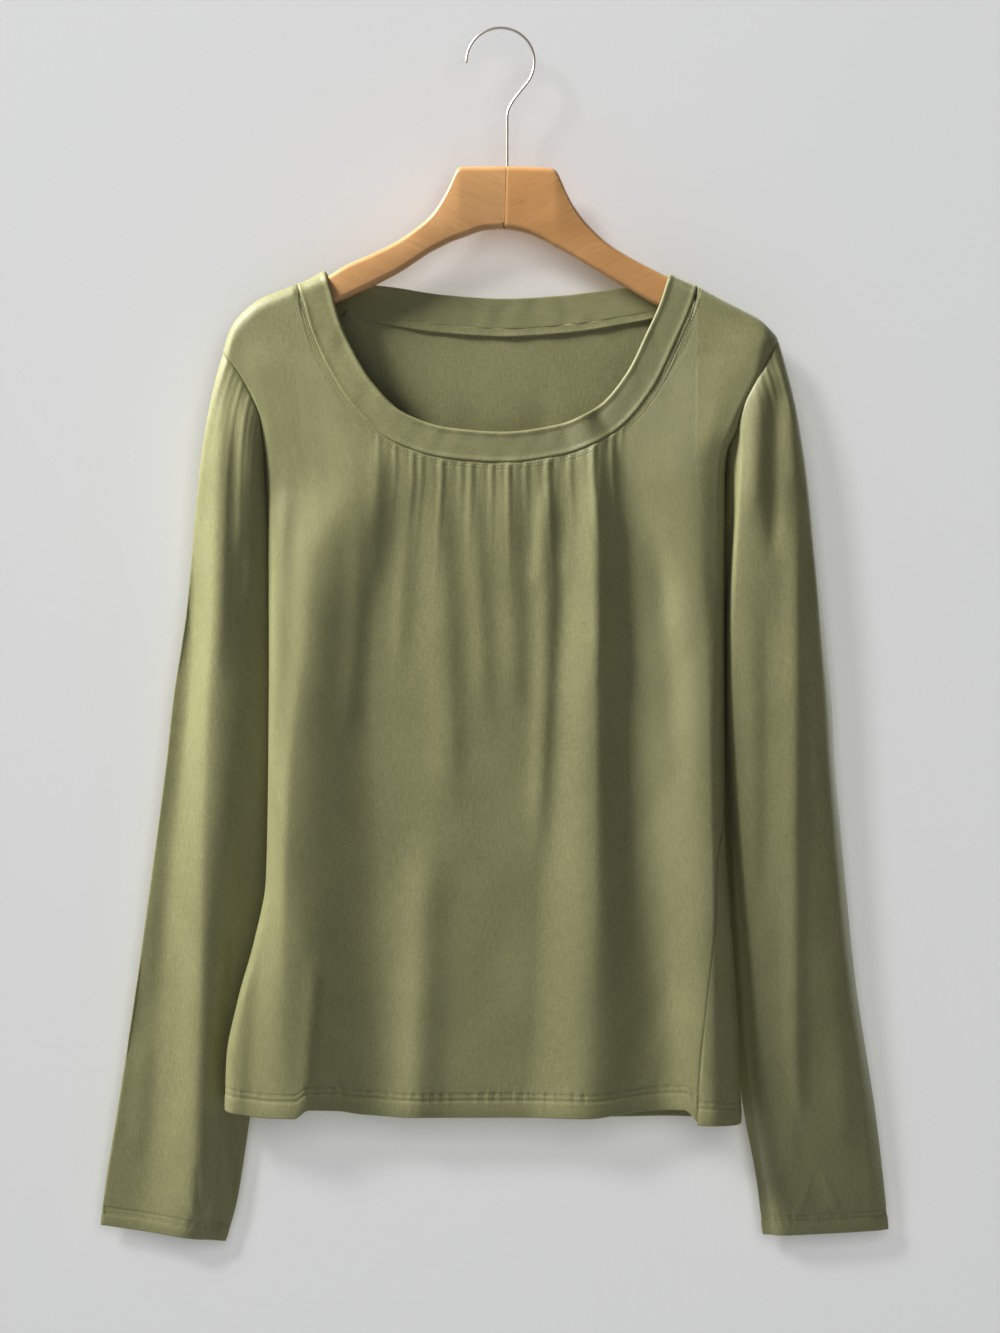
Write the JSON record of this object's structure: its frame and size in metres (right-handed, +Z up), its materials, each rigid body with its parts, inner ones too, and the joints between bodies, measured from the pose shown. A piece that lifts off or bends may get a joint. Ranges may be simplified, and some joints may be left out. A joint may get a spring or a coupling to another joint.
{
  "type": "long-sleeve top on hanger",
  "caption": "Long-sleeve scoop-neck jersey top with gathers under a bound neckband, hanging flat on a two-piece wooden hanger with a bent wire hook.",
  "frame": {"origin": "hang point: the inside top of the hanger's hook, where a rail holds it", "axes": "+Z up, +X to the right as seen from the front, the front faces -Y"},
  "size_m": [0.5565, 0.0528, 0.855],
  "materials": {
    "sage_jersey": "soft satin jersey",
    "beech": "clear satin lacquer",
    "nickel_wire": "satin nickel plate"
  },
  "bodies": {
    "root": {"front": "sage_jersey", "back": "sage_jersey", "sleeve_left": "sage_jersey", "sleeve_right": "sage_jersey", "neckband": "sage_jersey", "hanger_left": "beech", "hanger_right": "beech", "hanger_hook": "nickel_wire"}
  },
  "joints": []
}
